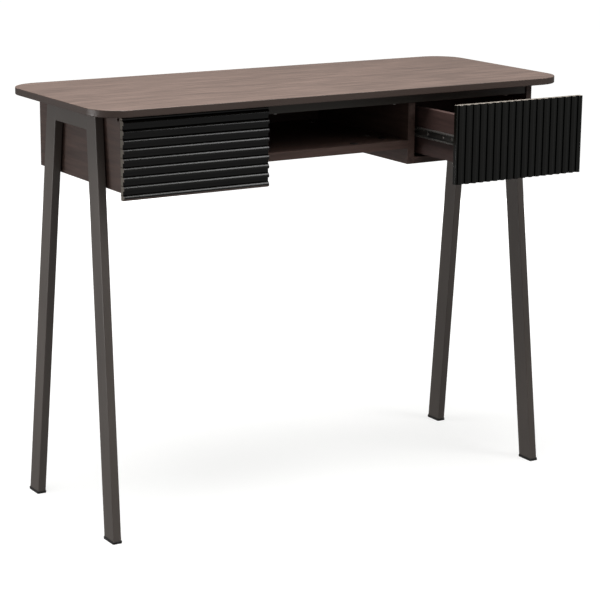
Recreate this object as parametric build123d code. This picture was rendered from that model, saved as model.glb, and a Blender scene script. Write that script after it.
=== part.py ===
from build123d import *

import os
from math import atan2, degrees, sqrt

# A narrow writing desk: a round-cornered board top on two leaning A-shaped steel
# frames, with a board cabinet under the top that holds a drawer at each end and
# an open shelf between them. X runs along the width, the front faces -Y, Z is up.
# Every length is in millimetres, measured from the middle of the desktop at floor
# level; the whole desk is moved once, at export, to the frame's own origin.

# Desktop
TOP_WIDTH = 1000.0
TOP_DEPTH = 400.0
TOP_THICK = 13.0
TOP_HEIGHT = 780.0
TOP_CORNER = 60.0
TOP_EASE = 1.2
TOP_UNDER = TOP_HEIGHT - TOP_THICK

# Leg frames: flat rectangular tube, leaning outward towards the floor
TUBE_X = 16.0
TUBE_Y = 38.0
TUBE_WALL = 1.5
TUBE_ROUND = 2.0
COPE = 1.2
FRAME_OUT_TOP = 461.9
FRAME_OUT_FLOOR = 478.0
LEG_OUT_TOP = 97.0
LEG_OUT_FLOOR = 178.8
BAR_TALL = 38.0
FRAME_LEAN = degrees(atan2(FRAME_OUT_FLOOR - FRAME_OUT_TOP, TOP_UNDER))

# Plastic feet: a plate wider than the tube, with a plug inside it
FOOT_PLATE = 5.0
FOOT_LIP = 1.2
FOOT_PLUG = 22.0
FOOT_ROUND = 3.0
PLUG_PLAY = 0.1

# Cabinet boards
FRONT_Y = -160.0
REAR_Y = 166.0
CABINET_LOW = 631.0
THIN_BOARD = 12.0
THICK_BOARD = 15.0
PANEL_OUT = 445.5
PANEL_IN = PANEL_OUT - THIN_BOARD
DIVIDER_IN = 156.0
DIVIDER_OUT = DIVIDER_IN + THICK_BOARD
SHELF_LOW = 661.0
SHELF_TOP = SHELF_LOW + THICK_BOARD
BACK_Y = REAR_Y - THIN_BOARD
BAY_FLOOR = CABINET_LOW + THIN_BOARD
BLIND_HOLE_R = 3.5
BLIND_HOLE_DEEP = 8.0
BLIND_HOLE_YZ = (-153.0, 757.5)

# Steel rail under the front of the desktop
RAIL_TUBE = 20.5
RAIL_DEEP = 20.0
RAIL_HALF = 428.0
RAIL_WALL = 1.5
RAIL_ROUND = 1.5
CAP_PLATE = 2.0
CAP_PLUG = 12.0

# Fasteners
DOWEL_R = 3.0
DOWEL_LONG = 20.0
DOWEL_IN_TOP = 8.0
BORE_PLAY = 0.05
BOLT_R = 3.0
BOLT_HEAD_R = 6.0
BOLT_HEAD = 3.0
BOLT_LONG = 22.0
BOLT_Z = 748.0
BOLT_Y = (-40.0, 40.0)
RAIL_SCREW_R = 2.0
RAIL_SCREW_LONG = 30.5
RAIL_SCREW_X = (-390.0, -130.0, 130.0, 390.0)
CAM_R = 7.5
CAM_DEEP = 12.0
CAM_PROUD = 0.4
CAM_IN = 34.0
CAM_Y = (-75.0, 125.0)
CAM_BOLT_R = 3.0
CAM_BOLT_IN = 8.0
PLUG_DEEP = 3.0
PLUG_XY = ((129.0, -112.0), (46.0, -143.0))

# Drawer boxes, shut: the right one is stored pulled out
BOX_FRONT_Y = FRONT_Y - 0.5
BOX_REAR_Y = 118.0
BOX_LOW = 649.0
BOX_TOP = 737.0
BOX_BOARD = 12.0
BOX_BOTTOM = 5.0
BOX_BOTTOM_Z = 657.0
GROOVE = 5.0
RIGHT_OPEN = 145.0

# Ribbed drawer fronts: the same moulding, cut with its ribs level or upright
FACE_LEFT = 154.5
LEVEL_LOW = 617.5
LEVEL_CUT = 291.0
UPRIGHT_LOW = 616.0
UPRIGHT_CUT = 145.0
FACE_BOARD = 8.5
FACE_EASE = 1.0
RIB_PITCH = 16.2
RIB_WIDE = 8.5
RIB_CREST = 4.0
RIB_LEDGE = 3.4
RIB_CREST_AT = 2.7
LEDGE_MARGIN = 1.5
SLOPE_MARGIN = 4.0
LEVEL_RIBS = 9
UPRIGHT_RIBS = 18

# Ball slides, measured across the gap from the board they are fixed to
SLIDE_GAP = 11.0
SLIDE_Z = 691.0
SLIDE_SHEET = 1.2
SLIDE_LONG = 280.0
FIXED_FRONT = FRONT_Y + 3.0
FIXED_HALF = 4.8
FIXED_FLANGE = 7.4
MOVING_FRONT = -150.0
MOVING_HALF = 8.5
MOVING_MOUTH = 2.4
CURL = 0.7
CAGE_FRONT = -117.5
CAGE_REAR = 18.0
CAGE_SHEET = 0.8
CAGE_HALF = 6.45
CAGE_EDGE = 4.4
CAGE_WEB = 7.8
BALL_R = 1.2
BALL_X = 6.5
BALL_Z = 6.05
BALL_MIDDLE = -17.0
BALL_STEP = 22.0
BALL_HOLE = 0.12
FIXED_SCREWS = (-140.0, -20.0, 90.0)
MOVING_SCREWS = (-120.0, -94.0, -45.0, 80.0)
SLIDE_SCREW_R = 1.6
SLIDE_SCREW_HEAD = 2.9
SLIDE_SCREW_THICK = 0.9
SLIDE_SCREW_LONG = 10.0

# Screws of the drawer boxes
BOX_SCREW_R = 2.0
BOX_SCREW_HEAD = 3.6
BOX_SCREW_LONG = 40.0
BOX_SCREW_Z = (674.0, 720.0)
FACE_SCREW_R = 1.8
FACE_SCREW_LONG = 18.0
FACE_SCREW_INSET = 40.0

# The frame's origin is the middle of the floor under the whole stored shape
NEAREST_Y = BOX_FRONT_Y - FACE_BOARD - RIB_CREST - RIGHT_OPEN
SHIFT_Y = -(NEAREST_Y + TOP_DEPTH / 2) / 2


def block(x0, x1, y0, y1, z0, z1):
    """A box between two corners."""
    middle = Pos((x0 + x1) / 2, (y0 + y1) / 2, (z0 + z1) / 2)
    return middle * Box(abs(x1 - x0), abs(y1 - y0), abs(z1 - z0))


def rod(start, direction, length, radius):
    """A round bar from a point along a direction."""
    seat = Plane(origin=start, z_dir=direction)
    return seat * Cylinder(radius, length, align=(Align.CENTER, Align.CENTER, Align.MIN))


def screw(start, direction, length, radius, head_radius, head_thick):
    """A pan-head screw whose head sits behind start, with a cross recess."""
    towards = Vector(*direction)
    top = Vector(*start) - towards * head_thick
    seat = Plane(origin=top, z_dir=towards)
    head = rod(top, towards, head_thick, head_radius)
    rim = head.edges().filter_by(GeomType.CIRCLE).sort_by(Axis(top, towards))[0]
    head = fillet(rim, head_thick * 0.5)
    for turn in (0, 90):
        slot = Box(head_radius * 1.3, head_radius * 0.26, head_thick)
        head -= seat * Rot(0, 0, turn) * slot
    return head + rod(start, towards, length, radius)


def flat_screw(start, direction, length, radius, head_radius):
    """A countersunk screw whose head is level with start."""
    towards = Vector(*direction)
    seat = Plane(origin=start, z_dir=towards)
    cone_tall = head_radius - radius
    cone = Cone(head_radius, radius, cone_tall, align=(Align.CENTER, Align.CENTER, Align.MIN))
    return seat * cone + rod(start, towards, length, radius)


def sunk_hole(start, direction, length, radius, head_radius):
    """The clearance that a countersunk screw needs."""
    return flat_screw(start, direction, length + BORE_PLAY, radius + BORE_PLAY, head_radius + BORE_PLAY)


def mirrored(shape):
    """The same shape on the other side of the desk."""
    return mirror(shape, Plane.YZ)


def placed(shape, side):
    """A shape built for the right half, on the side asked for."""
    return shape if side > 0 else mirrored(shape)


# ---------------------------------------------------------------- desktop


def dowels():
    """Where each dowel starts and which way it runs, for the right half."""
    top_z = TOP_UNDER + DOWEL_IN_TOP - DOWEL_LONG
    half = DOWEL_LONG / 2
    panel_x = (PANEL_IN + PANEL_OUT) / 2
    divider_x = (DIVIDER_IN + DIVIDER_OUT) / 2
    floor_z = CABINET_LOW + THIN_BOARD / 2
    back_y = (BACK_Y + REAR_Y) / 2
    places = []
    for y in (-100.0, 120.0):
        places.append(((panel_x, y, top_z), (0, 0, 1)))
        places.append(((divider_x, y, top_z), (0, 0, 1)))
    for y in (-120.0, 110.0):
        places.append(((DIVIDER_OUT - half, y, floor_z), (1, 0, 0)))
        places.append(((PANEL_IN - half, y, floor_z), (1, 0, 0)))
    places.append(((DIVIDER_OUT - half, back_y, 720.0), (1, 0, 0)))
    places.append(((PANEL_IN - half, back_y, 720.0), (1, 0, 0)))
    places.append(((DIVIDER_IN - half, back_y, 700.0), (1, 0, 0)))
    return places


def dowel_solids():
    """The beech dowels of the right half."""
    return [rod(start, way, DOWEL_LONG, DOWEL_R) for start, way in dowels()]


def without_dowel_bores(board):
    """A board of the right half with every dowel bore that meets it."""
    for start, way in dowels():
        board -= rod(start, way, DOWEL_LONG, DOWEL_R + BORE_PLAY)
    return board


def rail_screw_start(x):
    return (x, FRONT_Y + RAIL_DEEP / 2, TOP_UNDER - RAIL_TUBE)


def desktop():
    """The round-cornered top, with blind bores for dowels and rail screws."""
    outline = RectangleRounded(TOP_WIDTH, TOP_DEPTH, TOP_CORNER)
    board = Pos(0, 0, TOP_UNDER) * extrude(outline, TOP_THICK)
    rims = board.faces().sort_by(Axis.Z)
    board = fillet(rims[0].edges() + rims[-1].edges(), TOP_EASE)
    for start, way in dowels():
        if way == (0, 0, 1):
            bore = rod(start, way, DOWEL_LONG, DOWEL_R + BORE_PLAY)
            board -= bore
            board -= mirrored(bore)
    for x in RAIL_SCREW_X:
        board -= rod(rail_screw_start(x), (0, 0, 1), RAIL_SCREW_LONG, RAIL_SCREW_R + BORE_PLAY)
    return board


# ------------------------------------------------------------- leg frames


def lean(shape):
    """Turns a shape that stands upright at the frame's plane to the frame's lean."""
    hinge = Pos(FRAME_OUT_TOP, 0, TOP_UNDER)
    return hinge * Rot(0, -FRAME_LEAN, 0) * hinge.inverse() * shape


def band(low, high):
    """A slab of space between two heights, for cutting the leaning tubes level."""
    return block(0, TOP_WIDTH, -TOP_DEPTH, TOP_DEPTH, low, high)


def front_leg_core(inset):
    """The leaning prism of the front leg, drawn in by inset on all four sides."""
    slope = (LEG_OUT_FLOOR - LEG_OUT_TOP) / TOP_UNDER
    across = inset * sqrt(1 + slope**2)
    spare = 40.0
    low, high = -spare, TOP_UNDER + spare
    out_low = -LEG_OUT_FLOOR - slope * spare + across
    out_high = -LEG_OUT_TOP + slope * spare + across
    wide = TUBE_Y - 2 * across
    corners = [(out_low, low), (out_low + wide, low), (out_high + wide, high), (out_high, high)]
    side = Plane.YZ.offset(FRAME_OUT_TOP - TUBE_X + inset)
    prism = extrude(side * make_face(Polyline(corners, close=True)), TUBE_X - 2 * inset)
    if inset == 0:
        long_edges = [e for e in prism.edges() if e.length > TOP_UNDER]
        prism = fillet(long_edges, TUBE_ROUND)
    return lean(prism)


def front_leg():
    """A leg tube, from its foot's plate to the underside of the desktop."""
    tube = front_leg_core(0) - front_leg_core(TUBE_WALL)
    return tube & band(FOOT_PLATE, TOP_UNDER)


def foot():
    """A plastic foot: a flat plate on the floor and a plug inside the tube."""
    lip = FOOT_LIP
    corner_x = FRAME_OUT_FLOOR - TUBE_X - lip
    corner_y = -LEG_OUT_FLOOR - lip
    plate = RectangleRounded(TUBE_X + 2 * lip, TUBE_Y + 2 * lip, FOOT_ROUND)
    middle = Pos(corner_x + TUBE_X / 2 + lip, corner_y + TUBE_Y / 2 + lip, 0)
    plate = middle * extrude(plate, FOOT_PLATE)
    plate = chamfer(plate.faces().sort_by(Axis.Z)[-1].edges(), 0.8)
    plug = front_leg_core(TUBE_WALL + PLUG_PLAY) & band(FOOT_PLATE, FOOT_PLATE + FOOT_PLUG)
    return plate + plug


def bolt_start(y):
    return (PANEL_IN, y, BOLT_Z)


def top_bar():
    """The bar welded between the two legs of a frame, right under the desktop.

    Its ends reach a little way round the legs' rounded corners, as the weld does.
    """
    slope = (LEG_OUT_FLOOR - LEG_OUT_TOP) / TOP_UNDER
    high = LEG_OUT_TOP - TUBE_Y + COPE
    low = high + slope * BAR_TALL
    under = TOP_UNDER - BAR_TALL
    corners = [(-low, under), (low, under), (high, TOP_UNDER), (-high, TOP_UNDER)]
    side = Plane.YZ.offset(FRAME_OUT_TOP - TUBE_X)
    bar = extrude(side * make_face(Polyline(corners, close=True)), TUBE_X)
    long_edges = [e for e in bar.edges() if e.length > 2 * high - 1]
    bar = fillet(long_edges, TUBE_ROUND)
    wall = TUBE_WALL
    bar -= block(
        FRAME_OUT_TOP - TUBE_X + wall,
        FRAME_OUT_TOP - wall,
        -TOP_DEPTH,
        TOP_DEPTH,
        under + wall,
        TOP_UNDER - wall,
    )
    leg = front_leg_core(0)
    bar = lean(bar) & band(0, TOP_UNDER)
    bar = bar - leg - mirror(leg, Plane.XZ)
    for y in BOLT_Y:
        bar -= rod(bolt_start(y), (1, 0, 0), BOLT_LONG, BOLT_R + BORE_PLAY)
    return bar


def frame_bolts():
    """The bolts from inside the cabinet through a side panel into the top bar."""
    return [
        screw(bolt_start(y), (1, 0, 0), BOLT_LONG, BOLT_R, BOLT_HEAD_R, BOLT_HEAD)
        for y in BOLT_Y
    ]


# ---------------------------------------------------------------- cabinet


def side_panel():
    """The outer board of a drawer bay, with its bolt holes and one blind hole."""
    board = block(PANEL_IN, PANEL_OUT, FRONT_Y, REAR_Y, CABINET_LOW, TOP_UNDER)
    board = without_dowel_bores(board)
    for y in BOLT_Y:
        board -= rod(bolt_start(y), (1, 0, 0), BOLT_LONG, BOLT_R + BORE_PLAY)
    blind = (PANEL_OUT, *BLIND_HOLE_YZ)
    board -= rod(blind, (-1, 0, 0), BLIND_HOLE_DEEP, BLIND_HOLE_R)
    return without_fixed_slide_screws(board)


def divider():
    """The board between a drawer bay and the shelf, notched for the front rail."""
    board = block(DIVIDER_IN, DIVIDER_OUT, FRONT_Y, REAR_Y, CABINET_LOW, TOP_UNDER)
    board -= block(
        DIVIDER_IN - 1,
        DIVIDER_OUT + 1,
        FRONT_Y - 1,
        FRONT_Y + RAIL_DEEP,
        TOP_UNDER - RAIL_TUBE,
        TOP_UNDER + 1,
    )
    board = without_dowel_bores(board)
    for y in CAM_Y:
        board -= cam_bolt(y, BORE_PLAY)
    return without_fixed_slide_screws(board)


def bay_bottom():
    """The floor of a drawer bay."""
    board = block(DIVIDER_OUT, PANEL_IN, FRONT_Y, REAR_Y, CABINET_LOW, BAY_FLOOR)
    return without_dowel_bores(board)


def bay_back():
    """The board that closes a drawer bay behind."""
    board = block(DIVIDER_OUT, PANEL_IN, BACK_Y, REAR_Y, BAY_FLOOR, TOP_UNDER)
    return without_dowel_bores(board)


def centre_back():
    """The board that closes the open shelf behind."""
    board = block(-DIVIDER_IN, DIVIDER_IN, BACK_Y, REAR_Y, SHELF_TOP, TOP_UNDER)
    for start, way in dowels():
        bore = rod(start, way, DOWEL_LONG, DOWEL_R + BORE_PLAY)
        board -= bore
        board -= mirrored(bore)
    return board


def cam_bolt(y, play=0.0):
    """The pin screwed into a divider that a shelf cam pulls on."""
    start = (DIVIDER_IN - CAM_IN + CAM_R, y, (SHELF_LOW + SHELF_TOP) / 2)
    return rod(start, (1, 0, 0), CAM_IN - CAM_R + CAM_BOLT_IN, CAM_BOLT_R + play)


def cam(y):
    """A round cam lock let into the shelf, with a cross recess on top."""
    x = DIVIDER_IN - CAM_IN
    body = rod((x, y, SHELF_TOP - CAM_DEEP), (0, 0, 1), CAM_DEEP + CAM_PROUD, CAM_R)
    for turn in (0, 90):
        body -= Pos(x, y, SHELF_TOP + CAM_PROUD) * Rot(0, 0, turn + 20) * Box(9.0, 1.6, 3.0)
    return body


def shelf_plug(x, y):
    """A round plastic plug in a spare hole of the shelf."""
    body = rod((x, y, SHELF_TOP - PLUG_DEEP), (0, 0, 1), PLUG_DEEP + 1.2, CAM_R)
    rim = body.faces().sort_by(Axis.Z)[-1].edges()
    return fillet(rim, 1.0)


def centre_shelf():
    """The open shelf between the drawer bays."""
    board = block(-DIVIDER_IN, DIVIDER_IN, FRONT_Y, REAR_Y, SHELF_LOW, SHELF_TOP)
    for y in CAM_Y:
        x = DIVIDER_IN - CAM_IN
        pocket = rod((x, y, SHELF_TOP - CAM_DEEP), (0, 0, 1), CAM_DEEP + 1, CAM_R + BORE_PLAY)
        pocket += cam_bolt(y, BORE_PLAY)
        board -= pocket
        board -= mirrored(pocket)
    for x, y in PLUG_XY:
        board -= rod((x, y, SHELF_TOP - PLUG_DEEP), (0, 0, 1), PLUG_DEEP + 1, CAM_R + BORE_PLAY)
    return board


def front_rail():
    """The square tube that stiffens the front of the desktop."""
    low = TOP_UNDER - RAIL_TUBE
    tube = block(-RAIL_HALF, RAIL_HALF, FRONT_Y, FRONT_Y + RAIL_DEEP, low, TOP_UNDER)
    tube = fillet(tube.edges().filter_by(Axis.X), RAIL_ROUND)
    tube -= block(
        -RAIL_HALF,
        RAIL_HALF,
        FRONT_Y + RAIL_WALL,
        FRONT_Y + RAIL_DEEP - RAIL_WALL,
        low + RAIL_WALL,
        TOP_UNDER - RAIL_WALL,
    )
    for x in RAIL_SCREW_X:
        tube -= rod(rail_screw_start(x), (0, 0, 1), RAIL_SCREW_LONG, RAIL_SCREW_R + BORE_PLAY)
    return tube


def rail_cap():
    """The plastic cap in the right end of the rail."""
    low = TOP_UNDER - RAIL_TUBE
    rear = FRONT_Y + RAIL_DEEP
    plate = block(RAIL_HALF, RAIL_HALF + CAP_PLATE, FRONT_Y, rear, low, TOP_UNDER)
    plate = fillet(plate.edges().filter_by(Axis.X), RAIL_ROUND)
    inset = RAIL_WALL + PLUG_PLAY
    plug = block(
        RAIL_HALF - CAP_PLUG,
        RAIL_HALF,
        FRONT_Y + inset,
        rear - inset,
        low + inset,
        TOP_UNDER - inset,
    )
    return plate + plug


def rail_screws():
    """The screws up through the rail into the desktop."""
    return [
        screw(rail_screw_start(x), (0, 0, 1), RAIL_SCREW_LONG, RAIL_SCREW_R, 4.0, 2.4)
        for x in RAIL_SCREW_X
    ]


# ----------------------------------------------------------------- slides

# Each bay has two slides. at_divider() keeps the one drawn against the divider,
# at_panel() turns it round for the side panel. Both are for the right half.


def at_divider(x, y, z):
    return (DIVIDER_OUT + x, y, SLIDE_Z + z)


def to_panel(shape):
    """The divider's slide, turned to face in from the side panel."""
    return mirror(shape, Plane.YZ.offset((DIVIDER_OUT + PANEL_IN) / 2))


def strip(x0, x1, y0, y1, z0, z1):
    """A strip of sheet, given from the divider's face and the slide's middle height."""
    near = at_divider(x0, y0, z0)
    far = at_divider(x1, y1, z1)
    return block(near[0], far[0], near[1], far[1], near[2], far[2])


def fixed_member():
    """The slide's narrow channel, fixed to the cabinet."""
    y0 = FIXED_FRONT
    y1 = FIXED_FRONT + SLIDE_LONG
    sheet = SLIDE_SHEET
    channel = strip(0, sheet, y0, y1, -FIXED_HALF, FIXED_HALF)
    for low in (-FIXED_HALF, FIXED_HALF - sheet):
        channel += strip(0, FIXED_FLANGE, y0, y1, low, low + sheet)
    for y in FIXED_SCREWS:
        channel -= rod(at_divider(-1, y, 0), (1, 0, 0), 4, SLIDE_SCREW_R + BORE_PLAY)
    return channel


def moving_member():
    """The slide's wide channel, fixed to the drawer, with its mouth curled in."""
    y0 = MOVING_FRONT
    y1 = FIXED_FRONT + SLIDE_LONG
    sheet = SLIDE_SHEET
    web = SLIDE_GAP - sheet
    channel = strip(web, SLIDE_GAP, y0, y1, -MOVING_HALF, MOVING_HALF)
    for side in (-1, 1):
        inner = side * (MOVING_HALF - sheet)
        channel += strip(MOVING_MOUTH, web, y0, y1, inner, side * MOVING_HALF)
        channel += strip(MOVING_MOUTH, MOVING_MOUTH + sheet, y0, y1, inner, inner - side * CURL)
    for y in MOVING_SCREWS:
        channel -= rod(at_divider(web - 1, y, 0), (1, 0, 0), 4, SLIDE_SCREW_R + BORE_PLAY)
    return channel


def ball_centres():
    """Three balls above and three below, evenly spaced near the cage's rear."""
    return [
        at_divider(BALL_X, BALL_MIDDLE + step * BALL_STEP, side * BALL_Z)
        for side in (-1, 1)
        for step in (-1, 0, 1)
    ]


def ball_cage():
    """The thin cage that keeps the balls apart and rides half as far as the drawer."""
    y0 = CAGE_FRONT
    y1 = CAGE_REAR
    cage = strip(CAGE_WEB, CAGE_WEB + CAGE_SHEET, y0, y1, -CAGE_HALF, CAGE_HALF)
    for side in (-1, 1):
        outer = side * CAGE_HALF
        cage += strip(CAGE_EDGE, CAGE_WEB, y0, y1, outer, outer - side * CAGE_SHEET)
    for x, y, z in ball_centres():
        hole = rod((x, y, z - 2), (0, 0, 1), 4, BALL_R + BALL_HOLE)
        cage -= hole
    return cage


def balls():
    return [Pos(*centre) * Sphere(BALL_R) for centre in ball_centres()]


def fixed_screw_starts():
    return [at_divider(SLIDE_SHEET, y, 0) for y in FIXED_SCREWS]


def moving_screw_starts():
    return [at_divider(SLIDE_GAP - SLIDE_SHEET, y, 0) for y in MOVING_SCREWS]


def slide_screw(start, direction, play=0.0):
    """A short pan-head screw, or the bore it needs when play is given."""
    if play:
        return rod(start, direction, SLIDE_SCREW_LONG + play, SLIDE_SCREW_R + play)
    return screw(
        start,
        direction,
        SLIDE_SCREW_LONG,
        SLIDE_SCREW_R,
        SLIDE_SCREW_HEAD,
        SLIDE_SCREW_THICK,
    )


def without_fixed_slide_screws(board):
    """A board of the right half with the bores of the fixed members' screws."""
    for start in fixed_screw_starts():
        bore = slide_screw(start, (-1, 0, 0), BORE_PLAY)
        board -= bore
        board -= to_panel(bore)
    return board


# ---------------------------------------------------------------- drawers


def box_left():
    return DIVIDER_OUT + SLIDE_GAP


def box_right():
    return PANEL_IN - SLIDE_GAP


def box_groove():
    """The space of the drawer's bottom, let into the four boards round it."""
    x0 = box_left() + BOX_BOARD - GROOVE
    x1 = box_right() - BOX_BOARD + GROOVE
    y0 = BOX_FRONT_Y + BOX_BOARD - GROOVE
    y1 = BOX_REAR_Y - BOX_BOARD + GROOVE
    return block(x0, x1, y0, y1, BOX_BOTTOM_Z, BOX_BOTTOM_Z + BOX_BOTTOM)


def box_screw_starts():
    """Starts and directions of the countersunk screws through the box's sides."""
    starts = []
    for y in (BOX_FRONT_Y + BOX_BOARD / 2, BOX_REAR_Y - BOX_BOARD / 2):
        for z in BOX_SCREW_Z:
            starts.append(((box_left(), y, z), (1, 0, 0)))
            starts.append(((box_right(), y, z), (-1, 0, 0)))
    return starts


def without_box_screws(board):
    for start, way in box_screw_starts():
        board -= sunk_hole(start, way, BOX_SCREW_LONG, BOX_SCREW_R, BOX_SCREW_HEAD)
    return board


def box_side():
    """The drawer side next to the divider."""
    x0 = box_left()
    board = block(x0, x0 + BOX_BOARD, BOX_FRONT_Y, BOX_REAR_Y, BOX_LOW, BOX_TOP)
    board -= box_groove()
    for start in moving_screw_starts():
        board -= slide_screw(start, (1, 0, 0), BORE_PLAY)
    return without_box_screws(board)


def other_box_side():
    """The drawer side next to the side panel."""
    x1 = box_right()
    board = block(x1 - BOX_BOARD, x1, BOX_FRONT_Y, BOX_REAR_Y, BOX_LOW, BOX_TOP)
    board -= box_groove()
    for start in moving_screw_starts():
        board -= to_panel(slide_screw(start, (1, 0, 0), BORE_PLAY))
    return without_box_screws(board)


def box_cross_board(y0, y1):
    """A board across the drawer, between its sides."""
    x0 = box_left() + BOX_BOARD
    x1 = box_right() - BOX_BOARD
    board = block(x0, x1, y0, y1, BOX_LOW, BOX_TOP)
    board -= box_groove()
    return without_box_screws(board)


def face_screw_starts():
    """Screws from inside the drawer through its inner front into the ribbed front."""
    y = BOX_FRONT_Y + BOX_BOARD
    x0 = box_left() + BOX_BOARD + FACE_SCREW_INSET
    x1 = box_right() - BOX_BOARD - FACE_SCREW_INSET
    return [(x, y, z) for x in (x0, x1) for z in (678.0, 722.0)]


def without_face_screws(board):
    for start in face_screw_starts():
        board -= rod(start, (0, -1, 0), FACE_SCREW_LONG, FACE_SCREW_R + BORE_PLAY)
    return board


def inner_front():
    board = box_cross_board(BOX_FRONT_Y, BOX_FRONT_Y + BOX_BOARD)
    return without_face_screws(board)


def inner_back():
    return box_cross_board(BOX_REAR_Y - BOX_BOARD, BOX_REAR_Y)


def rib_section():
    """One rib: a rounded slope up to its crest, then a square ledge.

    Drawn in the XY plane with the ribs' run along X, the ledge at X = 0 and the
    slope falling away towards +X; +Y is away from the board.
    """
    rise = RIB_CREST - RIB_LEDGE
    radius = (RIB_CREST_AT**2 + rise**2) / (2 * rise)
    middle_y = RIB_CREST - radius
    foot_x = RIB_CREST_AT + sqrt(radius**2 - middle_y**2)
    outline = [
        Line((foot_x, 0), (0, 0)),
        Line((0, 0), (0, RIB_LEDGE)),
        ThreePointArc((0, RIB_LEDGE), (RIB_CREST_AT, RIB_CREST), (foot_x, 0)),
    ]
    return make_face(outline)


def moulding_width(ribs):
    return LEDGE_MARGIN + (ribs - 1) * RIB_PITCH + RIB_WIDE + SLOPE_MARGIN


def moulding(ribs, length):
    """The ribbed board: ribs spaced along +X, running along +Z, crests towards +Y."""
    board = block(0, moulding_width(ribs), -FACE_BOARD, 0, 0, length)
    board = fillet(board.edges().filter_by(Axis.Z), FACE_EASE)
    rib = extrude(rib_section(), length)
    return board + [Pos(LEDGE_MARGIN + n * RIB_PITCH, 0, 0) * rib for n in range(ribs)]


def upright_face():
    """The right drawer's front: ribs upright, ledges towards +X."""
    turned = Rot(0, 0, 180) * moulding(UPRIGHT_RIBS, UPRIGHT_CUT)
    right = FACE_LEFT + moulding_width(UPRIGHT_RIBS)
    return Pos(right, BOX_FRONT_Y - FACE_BOARD, UPRIGHT_LOW) * turned


def level_face():
    """The left drawer's front as if it were on the right: ribs level, ledges down."""
    turned = Rot(0, -90, 0) * moulding(LEVEL_RIBS, LEVEL_CUT)
    low = turned.bounding_box().min
    forward = Rot(0, 0, 180) * Pos(-low.X, 0, -low.Z) * turned
    return Pos(FACE_LEFT + LEVEL_CUT, BOX_FRONT_Y - FACE_BOARD, LEVEL_LOW) * forward


def drawer_parts(face):
    """Every piece that moves with a drawer, shut, as if on the right."""
    moving = moving_member()
    screws = [slide_screw(start, (1, 0, 0)) for start in moving_screw_starts()]
    box_screws = [
        flat_screw(start, way, BOX_SCREW_LONG, BOX_SCREW_R, BOX_SCREW_HEAD)
        for start, way in box_screw_starts()
    ]
    face_screws = [
        screw(start, (0, -1, 0), FACE_SCREW_LONG, FACE_SCREW_R, 3.6, 2.2)
        for start in face_screw_starts()
    ]
    return {
        "front": [without_face_screws(face)],
        "inner_front": [inner_front()],
        "inner_side": [box_side()],
        "outer_side": [other_box_side()],
        "back": [inner_back()],
        "bottom": [box_groove()],
        "inner_slide_channel": [moving],
        "outer_slide_channel": [to_panel(moving)],
        "slide_screws": screws + [to_panel(one) for one in screws],
        "box_screws": box_screws,
        "front_screws": face_screws,
    }


def cage_parts():
    """The pieces that ride at half the drawer's speed, shut, as if on the right."""
    cage = ball_cage()
    some = balls()
    return {
        "ball_cages": [cage, to_panel(cage)],
        "balls": some + [to_panel(one) for one in some],
    }


# ----------------------------------------------------------------- export


def save(name, solids, out_by=0.0):
    """Writes one node, moved out along -Y by out_by and to the frame's origin."""
    move = Pos(0, SHIFT_Y - out_by, 0)
    moved = []
    for solid in solids:
        moved += (move * solid).solids()
    shape = moved[0] if len(moved) == 1 else Compound(moved)
    export_step(shape, f"parts/{name}.step")


def save_cabinet():
    save("desktop", [desktop()])
    save("front_rail", [front_rail()])
    save("front_rail_caps", [rail_cap(), mirrored(rail_cap())])
    save("rail_screws", rail_screws())
    save("centre_shelf", [centre_shelf()])
    save("centre_back", [centre_back()])
    both = dowel_solids()
    save("dowels", both + [mirrored(one) for one in both])
    cams = [cam(y) for y in CAM_Y]
    save("shelf_cams", cams + [mirrored(one) for one in cams])
    pins = [cam_bolt(y) for y in CAM_Y]
    save("cam_pins", pins + [mirrored(one) for one in pins])
    save("shelf_plugs", [shelf_plug(x, y) for x, y in PLUG_XY])
    bolts = frame_bolts()
    save("frame_bolts", bolts + [mirrored(one) for one in bolts])
    fixed = [slide_screw(start, (-1, 0, 0)) for start in fixed_screw_starts()]
    fixed += [to_panel(one) for one in fixed]
    save("cabinet_slide_screws", fixed + [mirrored(one) for one in fixed])


def save_side(name, side):
    """The pieces of one half that stay still."""
    leg = front_leg()
    rear_leg = mirror(leg, Plane.XZ)
    pad = foot()
    rear_pad = mirror(pad, Plane.XZ)
    channel = fixed_member()
    pieces = {
        "front_leg": leg,
        "rear_leg": rear_leg,
        "frame_top_bar": top_bar(),
        "front_foot": pad,
        "rear_foot": rear_pad,
        "side_panel": side_panel(),
        "divider": divider(),
        "bay_bottom": bay_bottom(),
        "bay_back": bay_back(),
        "inner_cabinet_slide": channel,
        "outer_cabinet_slide": to_panel(channel),
    }
    for piece, shape in pieces.items():
        save(f"{name}_{piece}", [placed(shape, side)])


def save_drawer(name, side, face, open_by):
    for piece, solids in drawer_parts(face).items():
        save(f"{name}_drawer_{piece}", [placed(one, side) for one in solids], open_by)
    for piece, solids in cage_parts().items():
        save(f"{name}_drawer_{piece}", [placed(one, side) for one in solids], open_by / 2)


os.makedirs("parts", exist_ok=True)
save_cabinet()
save_side("left", -1)
save_side("right", 1)
save_drawer("left", -1, level_face(), 0.0)
save_drawer("right", 1, upright_face(), RIGHT_OPEN)
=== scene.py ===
from math import radians

import bpy
from mathutils import Matrix, Vector


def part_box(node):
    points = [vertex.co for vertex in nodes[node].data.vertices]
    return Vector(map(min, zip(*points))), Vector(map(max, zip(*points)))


# The writing desk as it stands in a plain white studio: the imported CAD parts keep
# their shapes and get their materials here, and light, floor and camera are added.

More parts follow.
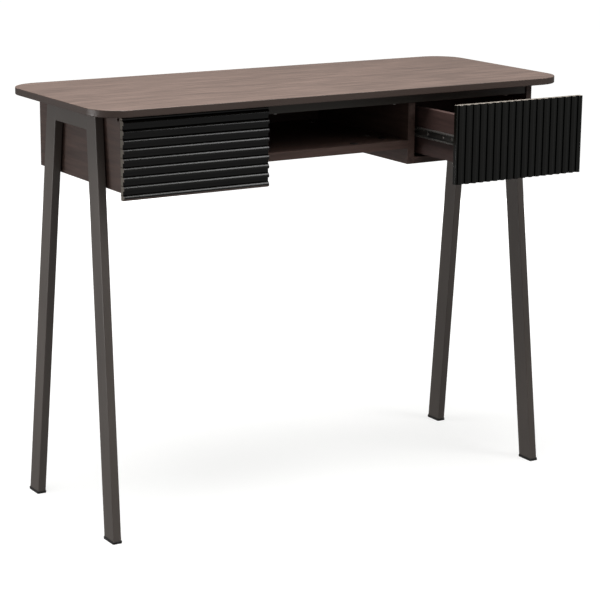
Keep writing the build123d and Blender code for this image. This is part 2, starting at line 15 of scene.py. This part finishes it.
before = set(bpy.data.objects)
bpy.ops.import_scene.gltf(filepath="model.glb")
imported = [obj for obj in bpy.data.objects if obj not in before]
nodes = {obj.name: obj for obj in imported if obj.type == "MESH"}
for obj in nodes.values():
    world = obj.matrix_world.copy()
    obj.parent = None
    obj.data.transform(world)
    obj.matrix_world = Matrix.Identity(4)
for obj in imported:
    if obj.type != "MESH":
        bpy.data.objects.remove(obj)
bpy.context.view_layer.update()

# Camera for a square picture: metres, degrees, and millimetres for lens and sensor
LENS = 120.66
SENSOR = 36.0
CAMERA_AT = (-1.9892, -3.1612, 1.2729)
CAMERA_YAW = 31.97
CAMERA_PITCH = 13.65
CAMERA_ROLL = 0.50
CLIP_START = 0.05
CLIP_END = 100.0

# Colours, as they are seen, from 0 to 255 in red, green and blue
# The desktop's brown is lighter than the other boards': partly its foil, partly painted sheen on
# its top
TOP_BROWN_AND_SHEEN = (106, 89, 81)
BOARD_BROWN = (84, 65, 58)
# The drawer boards' darker brown is partly painted shade on the drawer sides
BOARD_DARK_AND_SHADE = (66, 47, 43)
RIB_BLACK = (16, 16, 13)
RAW_FIBRE = (124, 117, 108)
PALE_FOOT_BROWN = (112, 96, 90)
LEG_GREY = (92, 85, 80)
# The rail's dark coat is partly painted shade under the desktop's overhang
RAIL_DARK_AND_SHADE = (72, 68, 62)
ZINC = (112, 111, 108)
ZINC_BURNISH_AND_GLINT = (226, 223, 216)
STEEL = (190, 188, 184)
PLASTIC_BLACK = (34, 32, 30)
BEECH = (196, 160, 112)
FLOOR_WHITE = (250, 250, 249)
ROOM_WHITE = (255, 255, 255)

# The drawer fronts' moulding, in metres: from rib to rib, from each rib's ledge to
# the corner at its foot, and from the board's edge to the first ledge
RIB_PITCH = 0.0162
RIB_WIDE = 0.0085
RIB_MARGIN = 0.0015

# The fronts' paint, in metres: how far from a rib's corner its painted shade is darkest
# and how far it reaches, how high the paler band at the board's foot goes, and how deep a sawn end
# reaches
CORNER_SHADE_DARKEST = 0.0005
CORNER_SHADE_REACH = 0.0015
PALE_FOOT_HEIGHT = 0.0037
SAWN_DEPTH = 0.0003

# How squarely a face looks along an axis, from 0 to 1, to count as level or as an end
LEVEL_FROM = 0.6
END_FROM = 0.7

# How like the flat normal a rounded one is, on a flat face and on a worn edge
FLAT_LIKENESS = 0.98
WORN_LIKENESS = 0.80

# Scale of the wood grain's texture across the grain and along it
GRAIN_ACROSS = 9.0
GRAIN_ALONG = 0.55

# Samples for an edge that is rounded by its shading
BEVEL_SAMPLES = 4

# Light that the white room sends from below and from above, and the heights of a
# direction, from -1 to 1, between which the one changes to the other
GROUND = 0.21
SKY = 0.205
GROUND_UP_TO = -0.4
SKY_DOWN_TO = 0.15

# The floor, in metres: its half width, and the ring in which its glow fades towards
# the desk. Its paint and its least glow are shares of white.
FLOOR_HALF = 30.0
FLOOR_PAINT = 0.35
GLOW_NEAR = 0.6
GLOW_FAR = 2.6
GLOW_LEAST = 0.78


def linear(colour, strength=1.0):
    """A seen colour as the linear value that shaders take, with alpha."""
    def channel(value):
        value = value / 255
        if value <= 0.04045:
            return value / 12.92
        return ((value + 0.055) / 1.055) ** 2.4
    return (*(min(1.0, channel(value) * strength) for value in colour), 1.0)


class Shader:
    """The nodes before a surface node, and short ways to add to them."""

    def __init__(self, owner, surface):
        owner.use_nodes = True
        self.tree = owner.node_tree
        self.surface = self.tree.nodes[surface]

    def put(self, socket, value):
        """Gives a socket a value, or a link where the value is a node's output."""
        if isinstance(value, bpy.types.NodeSocket):
            self.tree.links.new(value, socket)
        else:
            socket.default_value = value

    def node(self, kind, **inputs):
        """A new node. An input's name has _ in place of each space."""
        made = self.tree.nodes.new(kind)
        for name, value in inputs.items():
            self.put(made.inputs[name.replace("_", " ")], value)
        return made

    def shade(self, name, value):
        self.put(self.surface.inputs[name], value)

    def split(self, vector):
        """X, Y and Z of a vector."""
        return self.node("ShaderNodeSeparateXYZ", Vector=vector).outputs

    def ramp(self, factor, low, high, to_low=0.0, to_high=1.0):
        made = self.node(
            "ShaderNodeMapRange",
            Value=factor,
            From_Min=low,
            From_Max=high,
            To_Min=to_low,
            To_Max=to_high,
        )
        return made.outputs["Result"]

    def operate(self, kind, operation, values):
        made = self.node(kind)
        made.operation = operation
        for socket, value in zip(made.inputs, values):
            self.put(socket, value)
        return made.outputs["Value"]

    def math(self, operation, *values):
        return self.operate("ShaderNodeMath", operation, values)

    def measure(self, operation, *vectors):
        """A number worked out from vectors, such as a length."""
        return self.operate("ShaderNodeVectorMath", operation, vectors)

    def mix(self, factor, first, second):
        made = self.node("ShaderNodeMix")
        made.data_type = "RGBA"
        ends = (("Factor", "VALUE", factor), ("A", "RGBA", first), ("B", "RGBA", second))
        for name, kind, value in ends:
            self.put(next(s for s in made.inputs if s.name == name and s.type == kind), value)
        return next(s for s in made.outputs if s.type == "RGBA")


class Look(Shader):
    """A procedural material on a Principled surface."""

    def __init__(self, name):
        self.material = bpy.data.materials.new(name)
        super().__init__(self.material, "Principled BSDF")

    def here(self):
        """Places in the desk's own metres."""
        return self.node("ShaderNodeTexCoord").outputs["Object"]

    def place(self, scale=(1, 1, 1)):
        """Places in the desk's own metres, stretched for a texture."""
        return self.node("ShaderNodeMapping", Vector=self.here(), Scale=scale).outputs["Vector"]

    def noise(self, vector, scale, detail=4.0, roughness=0.55):
        made = self.node(
            "ShaderNodeTexNoise",
            Vector=vector,
            Scale=scale,
            Detail=detail,
            Roughness=roughness,
        )
        return made.outputs["Fac"]

    def flat_normal(self):
        return self.node("ShaderNodeNewGeometry").outputs["True Normal"]

    def rounded_normal(self, radius):
        """The normal of a surface whose edges are rounded by so many metres."""
        bevel = self.node("ShaderNodeBevel", Radius=radius)
        bevel.samples = BEVEL_SAMPLES
        return bevel.outputs["Normal"]

    def bump(self, height, distance, strength, edges=0.0):
        """Bump from a height, over edges that are rounded by so many metres."""
        made = self.node("ShaderNodeBump", Strength=strength, Distance=distance, Height=height)
        if edges > 0:
            self.put(made.inputs["Normal"], self.rounded_normal(edges))
        self.shade("Normal", made.outputs["Normal"])

    def facing(self, axis):
        """1 on faces square to an axis, down to 0 on faces that run along it."""
        return self.math("ABSOLUTE", self.split(self.flat_normal())[axis])

    def edge_wear(self, reach):
        """1 along sharp edges, within so many metres, 0 on flat faces."""
        likeness = self.measure("DOT_PRODUCT", self.rounded_normal(reach), self.flat_normal())
        return self.ramp(likeness, FLAT_LIKENESS, WORN_LIKENESS)


# ---------------------------------------------------------------- materials


def wood_foil(name, colour, along, roughness=0.5, pale_edges=0.15, band_shade=1.0):
    """Printed wood-grain board: fine streaks along one axis over slow clouds.

    Its edges are worn pale by the share pale_edges, and its upright faces are the
    foil's colour times band_shade: a darker edging with painted shade.
    """
    look = Look(name)
    stretch = [GRAIN_ACROSS] * 3
    stretch["XYZ".index(along)] = GRAIN_ALONG
    streaks = look.noise(look.place(stretch), 14.0, detail=7.0, roughness=0.62)
    fine = look.noise(look.place([value * 3 for value in stretch]), 22.0, roughness=0.6)
    clouds = look.noise(look.place(), 5.0, detail=3.0)
    dark = linear(colour, 0.62)
    light = linear(colour, 1.40)
    tone = look.mix(look.ramp(streaks, 0.33, 0.67), dark, light)
    tone = look.mix(look.ramp(fine, 0.35, 0.65, 0.0, 0.35), tone, dark)
    tone = look.mix(look.ramp(clouds, 0.30, 0.70, 0.0, 0.30), tone, linear(colour, 1.05))
    # Painted shade: the upright faces are made darker than the top, partly a darker edging
    if band_shade < 1.0:
        edging_and_shade = look.mix(fine, linear(colour, band_shade * 0.8), linear(colour, band_shade))
        upright = look.math("LESS_THAN", look.facing("Z"), LEVEL_FROM)
        tone = look.mix(upright, tone, edging_and_shade)
    wear = look.math("MULTIPLY", look.edge_wear(0.0009), pale_edges)
    tone = look.mix(wear, tone, linear(colour, 2.2))
    look.shade("Base Color", tone)
    look.shade("Roughness", look.ramp(streaks, 0.3, 0.7, roughness - 0.05, roughness + 0.06))
    look.shade("Specular IOR Level", 0.45)
    look.bump(fine, 0.00012, 0.35, edges=0.0006)
    return look.material


def sawn_ends(look, run_axis, low, high):
    """1 on the two faces where the ribs are sawn through, 0 on the others."""
    number = "XYZ".index(run_axis)
    along = look.split(look.here())[run_axis]
    at_low = look.math("LESS_THAN", along, low[number] + SAWN_DEPTH)
    at_high = look.math("GREATER_THAN", along, high[number] - SAWN_DEPTH)
    at_end = look.math("MAXIMUM", at_low, at_high)
    faces_end = look.math("GREATER_THAN", look.facing(run_axis), END_FROM)
    return look.math("MULTIPLY", at_end, faces_end)


def rib_corner_shade(look, run_axis, low, high):
    """Painted shade: 1 in the corner at the foot of each rib's slope, 0 away from it."""
    place = look.split(look.here())
    if run_axis == "X":
        past_ledge = look.math("SUBTRACT", place["Z"], low[2] + RIB_MARGIN)
    else:
        past_ledge = look.math("SUBTRACT", high[0] - RIB_MARGIN, place["X"])
    in_pitch = look.math("MODULO", past_ledge, RIB_PITCH)
    away = look.math("ABSOLUTE", look.math("SUBTRACT", in_pitch, RIB_WIDE))
    return look.ramp(away, CORNER_SHADE_REACH, CORNER_SHADE_DARKEST)


def ribbed_board(name, run_axis, node, pale_foot=0.0):
    """Near-black paint on the ribs, and bare fibreboard at the two sawn ends.

    The paint is a paler brown up to a height of pale_foot metres above the board's foot.
    """
    look = Look(name)
    low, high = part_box(node)
    fibre_tone = look.ramp(look.noise(look.place(), 900.0, detail=5.0, roughness=0.7), 0.35, 0.65)
    fibre = look.mix(fibre_tone, linear(RAW_FIBRE, 0.72), linear(RAW_FIBRE, 1.1))
    brush = [40.0, 40.0, 40.0]
    brush["XYZ".index(run_axis)] = 2.0
    drag = look.noise(look.place(brush), 6.0, detail=5.0)
    paint = look.mix(look.ramp(drag, 0.3, 0.7), linear(RIB_BLACK, 0.75), linear(RIB_BLACK, 1.25))
    wear = look.math("MULTIPLY", look.edge_wear(0.0005), 0.05)
    paint = look.mix(wear, paint, linear(RAW_FIBRE, 0.5))
    # Painted shade: the corner at the foot of each rib is darkened towards near-black
    corners = rib_corner_shade(look, run_axis, low, high)
    paint = look.mix(corners, paint, linear(RIB_BLACK, 0.2))
    # A paler brown band up to pale_foot metres above the board's foot
    if pale_foot > 0:
        height = look.split(look.here())["Z"]
        foot = look.ramp(height, low[2] + pale_foot * 1.2, low[2] + pale_foot * 0.8)
        pale_foot_tone = look.mix(fibre_tone, linear(PALE_FOOT_BROWN, 0.8), linear(PALE_FOOT_BROWN))
        paint = look.mix(foot, paint, pale_foot_tone)
    raw = sawn_ends(look, run_axis, low, high)
    look.shade("Base Color", look.mix(raw, paint, fibre))
    paint_gloss = look.ramp(drag, 0.3, 0.7, 0.15, 0.22)
    dull = look.math("MAXIMUM", raw, corners)
    matt = (0.9, 0.9, 0.9, 1.0)
    look.shade("Roughness", look.mix(dull, paint_gloss, matt))
    # Painted shade: a metal of the corners' near-black colour has no white gloss, as in a deep
    # corner
    look.shade("Metallic", corners)
    look.bump(look.noise(look.place(), 1400.0, detail=2.0), 0.00005, 0.4, edges=0.0004)
    return look.material


def powder_coat(name, colour):
    """Satin paint on steel, with the faint orange peel that powder leaves."""
    look = Look(name)
    peel = look.noise(look.place(), 520.0, detail=3.0)
    clouds = look.noise(look.place((1, 1, 0.4)), 7.0, detail=3.0)
    tone = look.mix(look.ramp(clouds, 0.3, 0.7), linear(colour, 0.88), linear(colour, 1.12))
    wear = look.math("MULTIPLY", look.edge_wear(0.0008), 0.18)
    tone = look.mix(wear, tone, linear(colour, 2.4))
    look.shade("Base Color", tone)
    look.shade("Roughness", look.ramp(clouds, 0.3, 0.7, 0.38, 0.48))
    look.shade("Specular IOR Level", 0.5)
    look.bump(peel, 0.00006, 0.5, edges=0.0005)
    return look.material


def rolled_zinc(name, colour, burnish_and_glint, roughness=0.34):
    """Zinc-plated steel, streaked from front to back, its edges burnished and brightened with a
    painted highlight.
    """
    look = Look(name)
    streaks = look.noise(look.place((60, 1.2, 60)), 14.0, detail=5.0, roughness=0.6)
    spangle = look.noise(look.place(), 160.0, detail=3.0)
    tone = look.mix(look.ramp(streaks, 0.3, 0.7), linear(colour, 0.72), linear(colour, 1.2))
    tone = look.mix(look.ramp(spangle, 0.3, 0.7, 0.0, 0.25), tone, linear(colour, 0.8))
    # Burnish and painted highlight: the sharp edges take a brighter zinc
    tone = look.mix(look.edge_wear(0.0007), tone, linear(burnish_and_glint))
    look.shade("Base Color", tone)
    look.shade("Metallic", 0.85)
    look.shade("Roughness", look.ramp(streaks, 0.3, 0.7, roughness - 0.08, roughness + 0.1))
    look.bump(streaks, 0.00004, 0.5, edges=0.0003)
    return look.material


def plastic(name, colour):
    """Moulded plastic with a fine spark-eroded grain."""
    look = Look(name)
    grain = look.noise(look.place(), 1800.0, detail=2.0)
    clouds = look.noise(look.place(), 60.0, detail=3.0)
    look.shade("Base Color", look.mix(clouds, linear(colour, 0.85), linear(colour, 1.2)))
    look.shade("Roughness", look.ramp(clouds, 0.3, 0.7, 0.5, 0.62))
    look.bump(grain, 0.00005, 0.5, edges=0.0004)
    return look.material


def beech(name, colour):
    """Plain beech with small dense flecks."""
    look = Look(name)
    flecks = look.noise(look.place((30, 30, 30)), 30.0, detail=6.0)
    look.shade("Base Color", look.mix(flecks, linear(colour, 0.75), linear(colour, 1.1)))
    look.shade("Roughness", look.ramp(flecks, 0.3, 0.7, 0.6, 0.75))
    look.bump(flecks, 0.0001, 0.4)
    return look.material


def cover(material, *names):
    """Gives CAD nodes a material in place of the one they were packed with."""
    for name in names:
        for slot in nodes[name].material_slots:
            slot.material = material


def ending(*ends):
    """Names of the nodes that end in one of these words, in order."""
    return [name for name in sorted(nodes) if name.endswith(ends)]


def cover_boards():
    across = wood_foil("board_grain_across", BOARD_BROWN, "X")
    deep = wood_foil("board_grain_deep", BOARD_BROWN, "Y")
    # Partly painted shade: the drawer boards are a darker copy of the board brown
    box = wood_foil("drawer_board_deep", BOARD_DARK_AND_SHADE, "Y", roughness=0.6, pale_edges=0.03)
    box_across = wood_foil("drawer_board_across", BOARD_DARK_AND_SHADE, "X", roughness=0.6, pale_edges=0.03)
    desktop = wood_foil("desktop_foil", TOP_BROWN_AND_SHEEN, "X", roughness=0.42, pale_edges=0.02, band_shade=0.49)
    cover(desktop, "desktop")
    cover(across, "centre_shelf", "centre_back", *ending("bay_back", "bay_bottom"))
    cover(deep, *ending("side_panel", "divider"))
    cover(box, *ending("drawer_inner_side", "drawer_outer_side", "drawer_bottom"))
    cover(box_across, *ending("inner_front", "drawer_back"))


def cover_fronts():
    level = ribbed_board("level_ribs", "X", "left_drawer_front", PALE_FOOT_HEIGHT)
    upright = ribbed_board("upright_ribs", "Z", "right_drawer_front")
    cover(level, "left_drawer_front")
    cover(upright, "right_drawer_front")


def cover_metal_and_fittings():
    slides = ending("cabinet_slide", "slide_channel", "ball_cages")
    fasteners = ending("screws", "bolts", "pins", "cams", "_balls")
    cover(powder_coat("leg_coat", LEG_GREY), *ending("_leg", "frame_top_bar"))
    # Partly painted shade: the rail's coat is darker than the legs'
    cover(powder_coat("rail_coat", RAIL_DARK_AND_SHADE), "front_rail")
    cover(rolled_zinc("slide_zinc", ZINC, ZINC_BURNISH_AND_GLINT), *slides)
    cover(rolled_zinc("screw_steel", STEEL, STEEL, roughness=0.25), *fasteners)
    cover(plastic("black_plastic", PLASTIC_BLACK), *ending("_foot", "rail_caps", "plugs"))
    cover(beech("beech_dowel", BEECH), "dowels")


# ------------------------------------------------------------------- studio


def add_to_scene(name, data):
    made = bpy.data.objects.new(name, data)
    bpy.context.scene.collection.objects.link(made)
    return made


def floor():
    """A wide pale floor under the desk's feet, which glows a little less near it."""
    half = FLOOR_HALF
    mesh = bpy.data.meshes.new("studio_floor")
    corners = [(-half, -half, 0), (half, -half, 0), (half, half, 0), (-half, half, 0)]
    mesh.from_pydata(corners, [], [(0, 1, 2, 3)])
    look = Look("studio_floor")
    distance = look.measure("LENGTH", look.here())
    look.shade("Base Color", linear(FLOOR_WHITE, FLOOR_PAINT))
    look.shade("Roughness", 1.0)
    look.shade("Specular IOR Level", 0.0)
    look.shade("Emission Color", linear(FLOOR_WHITE))
    look.shade("Emission Strength", look.ramp(distance, GLOW_NEAR, GLOW_FAR, GLOW_LEAST, 1.0))
    mesh.materials.append(look.material)
    made = add_to_scene("studio_floor", mesh)
    made.visible_diffuse = False
    made.visible_glossy = False


def area_light(name, at, towards, size, power):
    """A soft box of a size in metres and a power in watts."""
    lamp = bpy.data.lights.new(name, "AREA")
    lamp.shape = "RECTANGLE"
    lamp.size, lamp.size_y = size
    lamp.energy = power
    made = add_to_scene(name, lamp)
    made.location = at
    direction = Vector(towards) - Vector(at)
    made.rotation_euler = direction.to_track_quat("-Z", "Y").to_euler()


def lights():
    """A large box above, two in front, one low on the left and one low behind."""
    area_light("box_above", (-0.5, -0.3, 3.0), (-0.4, 0.0, 0.0), size=(2.2, 2.0), power=130)
    area_light("box_front", (1.3, -1.5, 2.8), (-0.2, -0.1, 0.7), size=(1.1, 0.8), power=17)
    area_light("box_front_low", (1.7, -1.95, 2.0), (-0.2, -0.1, 0.7), size=(1.1, 0.9), power=11)
    area_light("box_left", (-2.75, 1.05, 0.25), (0.0, 0.0, 0.25), size=(1.2, 1.1), power=29)
    area_light("box_back", (1.6, 2.6, 0.35), (0.0, 0.0, 0.4), size=(1.6, 0.5), power=22)


def white_room():
    """A room that the camera sees as white, and that lights the desk dimly all round."""
    world = bpy.data.worlds.new("white_room")
    room = Shader(world, "Background")
    height = room.split(room.node("ShaderNodeTexCoord").outputs["Generated"])["Z"]
    light = room.ramp(height, GROUND_UP_TO, SKY_DOWN_TO, GROUND, SKY)
    seen = room.node("ShaderNodeLightPath").outputs["Is Camera Ray"]
    room.shade("Color", linear(ROOM_WHITE))
    room.shade("Strength", room.math("MAXIMUM", light, seen))
    bpy.context.scene.world = world


def camera():
    """The camera at its measured place, a little rolled."""
    data = bpy.data.cameras.new("camera")
    data.lens = LENS
    data.sensor_width = SENSOR
    data.clip_start = CLIP_START
    data.clip_end = CLIP_END
    turn = (
        Matrix.Rotation(-radians(CAMERA_YAW), 4, "Z")
        @ Matrix.Rotation(radians(90 - CAMERA_PITCH), 4, "X")
        @ Matrix.Rotation(radians(CAMERA_ROLL), 4, "Z")
    )
    made = add_to_scene("camera", data)
    made.matrix_world = Matrix.Translation(CAMERA_AT) @ turn
    bpy.context.scene.camera = made


cover_boards()
cover_fronts()
cover_metal_and_fittings()
floor()
white_room()
lights()
camera()
bpy.context.scene.view_settings.view_transform = "Standard"
